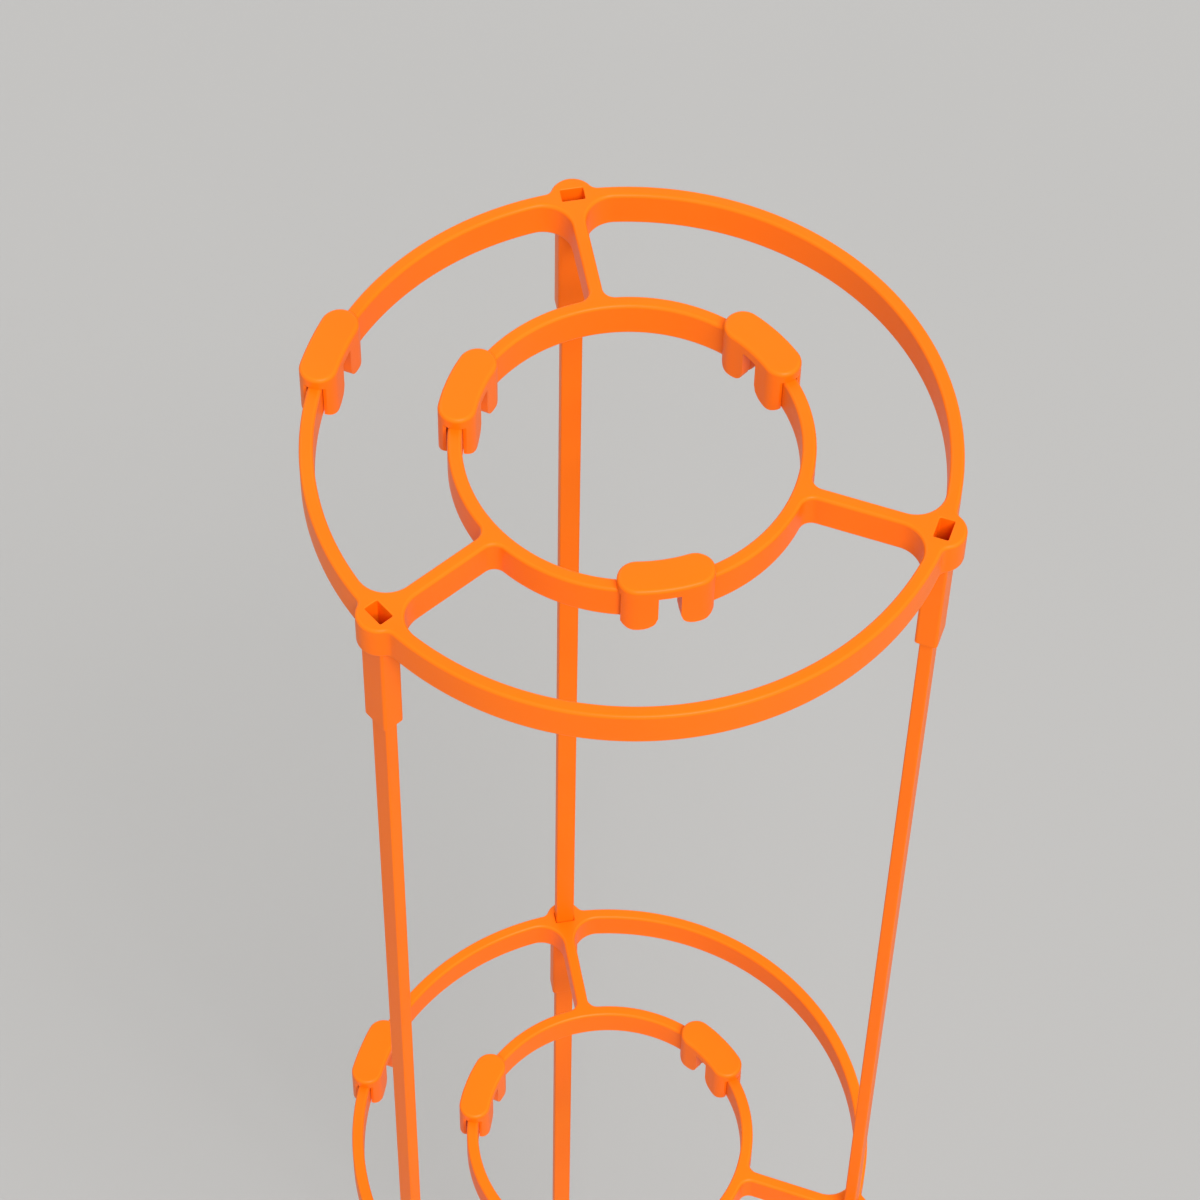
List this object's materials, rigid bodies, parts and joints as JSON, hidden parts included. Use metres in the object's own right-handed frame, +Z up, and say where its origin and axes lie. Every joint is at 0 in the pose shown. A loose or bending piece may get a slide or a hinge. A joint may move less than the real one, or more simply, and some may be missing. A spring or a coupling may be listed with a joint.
{
  "type": "tomato cage",
  "caption": "Stackable round plant cage: ring frames with an inner ring and spokes on flat poles, push-on clips closing the ring gaps, and pointed ground stakes.",
  "frame": {"origin": "on the cage's axis, at the level of the stakes' tips", "axes": "+Z up along the axis; +X to the right-hand pole, so the ring gap with the outer clip is on -X"},
  "size_m": [0.1408, 0.135, 0.6364],
  "materials": {
    "ring_plastic": "satin orange",
    "pole_plastic": "satin orange",
    "clip_plastic": "satin orange"
  },
  "bodies": {
    "base_stage": {"lower_ring": "ring_plastic", "ground_stake_right": "pole_plastic", "ground_stake_back": "pole_plastic", "ground_stake_left": "pole_plastic"},
    "upper_stage": {"top_ring": "ring_plastic", "upper_pole_right": "pole_plastic", "upper_pole_back": "pole_plastic", "upper_pole_left": "pole_plastic"},
    "top_inner_clip_back": {"top_inner_clip_back": "clip_plastic"},
    "top_inner_clip_left": {"top_inner_clip_left": "clip_plastic"},
    "top_inner_clip_front": {"top_inner_clip_front": "clip_plastic"},
    "top_outer_clip": {"top_outer_clip": "clip_plastic"},
    "lower_inner_clip_back": {"lower_inner_clip_back": "clip_plastic"},
    "lower_inner_clip_left": {"lower_inner_clip_left": "clip_plastic"},
    "lower_inner_clip_front": {"lower_inner_clip_front": "clip_plastic"},
    "lower_outer_clip": {"lower_outer_clip": "clip_plastic"}
  },
  "joints": [
    {"name": "upper_stage_lift", "type": "slide", "parent": "base_stage", "child": "upper_stage", "axis": [0, 0, 1], "range_m": [0, 0.014]},
    {"name": "top_inner_clip_back_pull", "type": "slide", "parent": "upper_stage", "child": "top_inner_clip_back", "axis": [0, 0, 1], "range_m": [0, 0.011]},
    {"name": "top_inner_clip_left_pull", "type": "slide", "parent": "upper_stage", "child": "top_inner_clip_left", "axis": [0, 0, 1], "range_m": [0, 0.011]},
    {"name": "top_inner_clip_front_pull", "type": "slide", "parent": "upper_stage", "child": "top_inner_clip_front", "axis": [0, 0, 1], "range_m": [0, 0.011]},
    {"name": "top_outer_clip_pull", "type": "slide", "parent": "upper_stage", "child": "top_outer_clip", "axis": [0, 0, 1], "range_m": [0, 0.011]},
    {"name": "lower_inner_clip_back_pull", "type": "slide", "parent": "base_stage", "child": "lower_inner_clip_back", "axis": [0, 0, 1], "range_m": [0, 0.011]},
    {"name": "lower_inner_clip_left_pull", "type": "slide", "parent": "base_stage", "child": "lower_inner_clip_left", "axis": [0, 0, 1], "range_m": [0, 0.011]},
    {"name": "lower_inner_clip_front_pull", "type": "slide", "parent": "base_stage", "child": "lower_inner_clip_front", "axis": [0, 0, 1], "range_m": [0, 0.011]},
    {"name": "lower_outer_clip_pull", "type": "slide", "parent": "base_stage", "child": "lower_outer_clip", "axis": [0, 0, 1], "range_m": [0, 0.011]}
  ]
}
